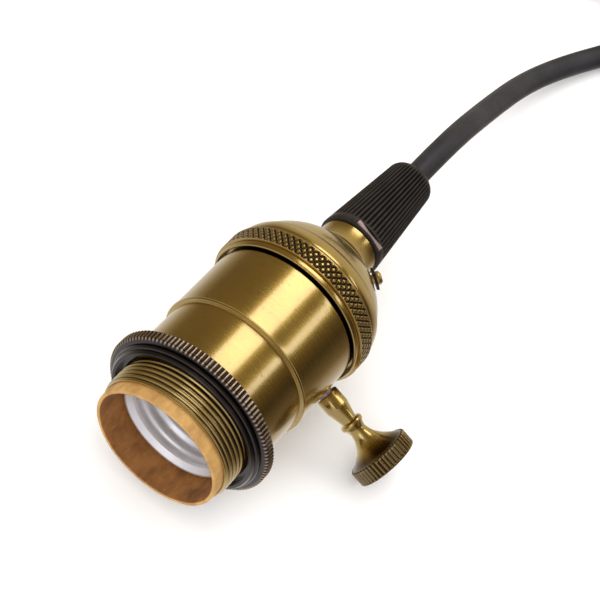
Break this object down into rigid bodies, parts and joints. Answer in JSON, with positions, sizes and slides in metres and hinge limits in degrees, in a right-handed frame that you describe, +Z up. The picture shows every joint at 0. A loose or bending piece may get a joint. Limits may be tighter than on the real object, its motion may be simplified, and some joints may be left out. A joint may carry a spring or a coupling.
{
  "type": "lampholder with rotary switch",
  "caption": "Vintage brass screw lampholder with a rotary turn-knob switch, external shade thread and knurled shade ring, ribbed cord grip and a coiled black flex.",
  "frame": {"origin": "centre of the holder's footprint, on the surface that it lies on; the cord is left out of the footprint", "axes": "+X along the socket axis from the lamp mouth to the cord, +Z up, -Y towards the switch knob's side"},
  "size_m": [0.3077, 0.103, 0.0466],
  "materials": {
    "antique_brass": "satin antique brass, finely brushed round its axis, darker in recesses",
    "dark_bronze": "dark bronze plating, semi-gloss, worn to brass on the teeth",
    "vulcanised_fibre": "vulcanised fibre, tan, matt, with faint mottling",
    "aluminium_sheet": "bright rolled sheet",
    "contact_brass": "bare spring brass",
    "porcelain": "white glazed porcelain",
    "black_phenolic": "moulded phenolic",
    "zinc_plated_steel": "zinc plated",
    "blackened_steel": "blackened",
    "grip_plastic": "moulded nylon, satin",
    "cord_sheath": "smooth PVC sheath, semi-matt",
    "tie_fabric": "woven hook-and-loop strap",
    "core_brown": "PVC",
    "core_blue": "PVC",
    "core_green_yellow": "PVC, green with a yellow stripe"
  },
  "bodies": {
    "holder": {"outer_shell": "antique_brass", "cap": "antique_brass", "clamp_ring": "antique_brass", "insulating_liner": "vulcanised_fibre", "screw_shell": "aluminium_sheet", "shell_rivets": "contact_brass", "lamp_base": "porcelain", "switch_housing": "black_phenolic", "switch_cover": "vulcanised_fibre", "carrier_plate": "zinc_plated_steel", "assembly_screws": "zinc_plated_steel", "live_contact": "contact_brass", "load_contact": "contact_brass", "neutral_contact": "contact_brass", "terminal_screws": "contact_brass", "detent_spring": "zinc_plated_steel", "earth_washer": "blackened_steel", "earth_screw": "contact_brass", "cord_grip": "grip_plastic", "grip_lock_plate": "zinc_plated_steel", "cord_in_grip": "cord_sheath", "cord_tube": "cord_sheath", "cord_coil": "cord_sheath", "coil_tie": "tie_fabric", "core_ferrules": "zinc_plated_steel", "live_core": "core_brown", "neutral_core": "core_blue", "earth_core": "core_green_yellow", "end_core_live": "core_brown", "end_core_neutral": "core_blue", "end_core_earth": "core_green_yellow"},
    "knob": {"turn_knob": "antique_brass", "switch_shaft": "zinc_plated_steel", "switch_rotor": "black_phenolic", "bridging_contact": "contact_brass"},
    "shade_ring": {"shade_ring": "dark_bronze"},
    "centre_contact": {"centre_contact": "contact_brass"}
  },
  "joints": [
    {"name": "knob_turn", "type": "hinge", "parent": "holder", "child": "knob", "pos_m": [-0.0099, 0.01048, 0.02328], "axis": [0, -0.9367, -0.3502], "continuous": true},
    {"name": "shade_ring_travel", "type": "slide", "parent": "holder", "child": "shade_ring", "axis": [-1, 0, 0], "range_m": [0, 0.016]},
    {"name": "centre_contact_press", "type": "hinge", "parent": "holder", "child": "centre_contact", "pos_m": [-0.0254, 0.00336, 0.02062], "axis": [0, -0.3502, 0.9367], "range_deg": [-7, 0], "stiffness_Nm_per_rad": 0.25}
  ]
}
